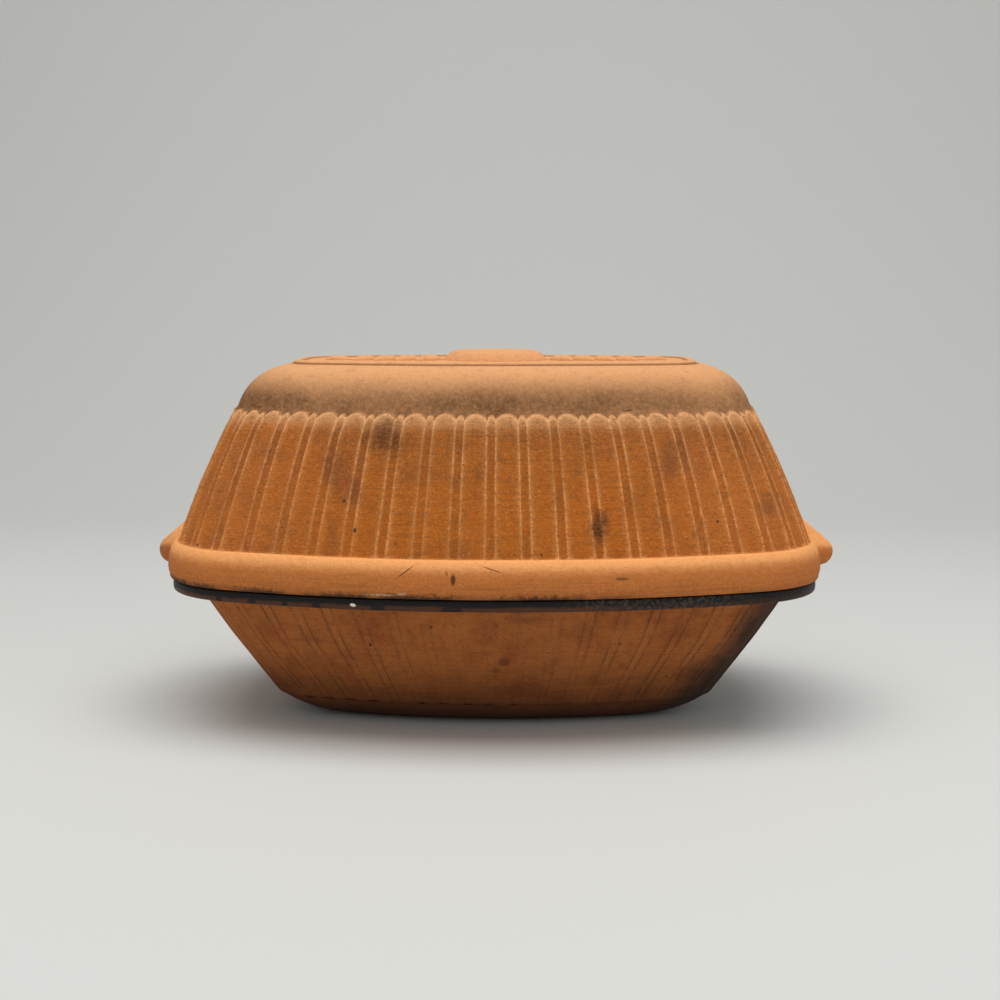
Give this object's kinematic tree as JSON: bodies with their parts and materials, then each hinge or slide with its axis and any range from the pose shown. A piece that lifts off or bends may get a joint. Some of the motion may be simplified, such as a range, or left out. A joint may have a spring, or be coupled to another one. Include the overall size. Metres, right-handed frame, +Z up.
{
  "type": "clay roaster",
  "caption": "Oval unglazed clay roaster: a flared fluted dish with a glazed rim and a domed fluted lid with moulded end lugs that lifts straight off.",
  "frame": {"origin": "middle of the dish's flat foot, on the surface that it stands on", "axes": "+Z up, the way the lid lifts; +X along the roaster's length, from lug to lug; +Y from the front to the back"},
  "size_m": [0.3432, 0.2208, 0.1837],
  "materials": {
    "lid_clay": "matt fired clay, soot-stained, with worn arrises",
    "dish_clay": "matt fired clay outside, dark brown glaze on the rim and inside"
  },
  "bodies": {
    "dish": {"dish": "dish_clay"},
    "lid": {"lid": "lid_clay"}
  },
  "joints": [
    {"name": "lid_lift", "type": "slide", "parent": "dish", "child": "lid", "axis": [0, 0, 1], "range_m": [0, 0.15]}
  ]
}
